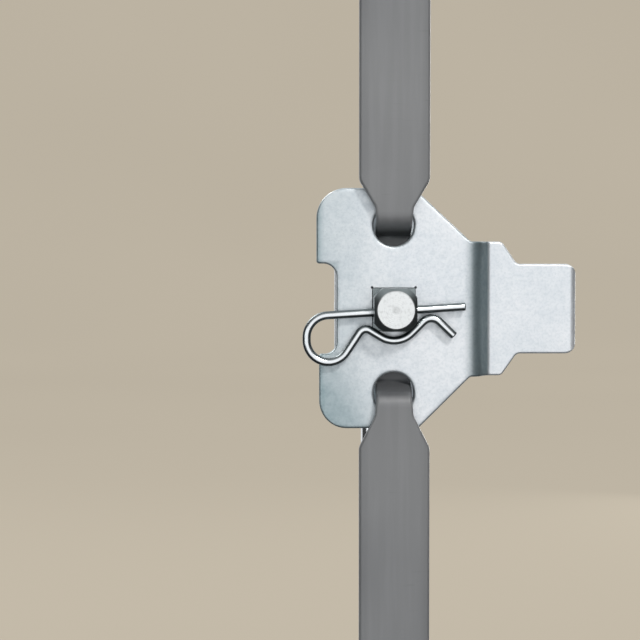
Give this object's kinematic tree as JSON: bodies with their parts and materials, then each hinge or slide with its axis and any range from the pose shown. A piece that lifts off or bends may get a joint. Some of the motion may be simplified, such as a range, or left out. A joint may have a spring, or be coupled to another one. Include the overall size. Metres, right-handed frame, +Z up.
{
  "type": "cabinet door latch",
  "caption": "Multi-point cabinet door latch: keyed lever handle, square spindle, zinc-plated cam plate with a set-back tongue, hairpin clip, and flat lock rods hooked above and below.",
  "frame": {"origin": "on the spindle's axis, at the plane of the door's outer face", "axes": "+Z up along the rods, +Y out of the cabinet towards the handle, +X towards the door's closing edge; the hinge side is -X"},
  "size_m": [0.0627, 0.0808, 0.4572],
  "materials": {
    "zinc_sheet": "bright zinc plate over rolled steel",
    "zinc_hardware": "bright zinc plate",
    "grey_enamel": "semi-gloss grey enamel",
    "spring_wire": "bright drawn spring wire",
    "spindle_steel": "turned and zinc plated",
    "spring_steel": "blued spring steel",
    "chrome_casting": "satin chrome on a die casting",
    "lock_chrome": "bright chrome",
    "lock_zinc": "plain zinc",
    "brass": "machined brass",
    "key_nickel": "nickel-plated brass",
    "nylon": "natural nylon",
    "rubber": "black"
  },
  "bodies": {
    "door_set": {"escutcheon": "chrome_casting", "gasket": "rubber", "backing_plate": "zinc_hardware", "mounting_screws": "zinc_hardware", "screw_washers": "zinc_hardware"},
    "rotor": {"handle": "chrome_casting", "spindle": "spindle_steel", "spindle_pin": "spindle_steel", "retaining_ring": "spring_steel", "hub_spring_washer": "spring_steel", "spindle_ferrule": "nylon", "cam_spring_washer": "spring_steel", "cam_plate": "zinc_sheet", "hairpin_clip": "spring_wire", "lock_shell": "lock_chrome"},
    "top_rod": {"upper_rod": "grey_enamel"},
    "bottom_rod": {"lower_rod": "grey_enamel"},
    "bolt": {"lock_bolt": "lock_zinc"},
    "plug": {"lock_plug": "brass", "wafers": "brass"},
    "key_body": {"key": "key_nickel"}
  },
  "joints": [
    {"name": "handle_turn", "type": "hinge", "parent": "door_set", "child": "rotor", "pos_m": [0, 0, 0], "axis": [0, 1, 0], "range_deg": [0, 90]},
    {"name": "upper_rod_pivot", "type": "hinge", "parent": "rotor", "child": "top_rod", "pos_m": [0, -0.01445, 0.0188], "axis": [0, 1, 0], "range_deg": [-96, 0]},
    {"name": "lower_rod_pivot", "type": "hinge", "parent": "rotor", "child": "bottom_rod", "pos_m": [0, -0.01445, -0.0188], "axis": [0, 1, 0], "range_deg": [-96, 0]},
    {"name": "plug_turn", "type": "hinge", "parent": "rotor", "child": "plug", "pos_m": [0, 0.0136, 0], "axis": [0, -1, 0], "range_deg": [0, 90]},
    {"name": "bolt_slide", "type": "slide", "parent": "rotor", "child": "bolt", "axis": [0, 0, 1], "range_m": [0, 0.00284]},
    {"name": "key_slide", "type": "slide", "parent": "plug", "child": "key_body", "axis": [0, 1, 0], "range_m": [0, 0.022]}
  ],
  "couplings": [
    {"joint": "upper_rod_pivot", "follows": "handle_turn", "ratio": -1.0582},
    {"joint": "lower_rod_pivot", "follows": "handle_turn", "ratio": -1.0582},
    {"joint": "bolt_slide", "follows": "plug_turn", "m_per_rad": 0.0017825}
  ]
}
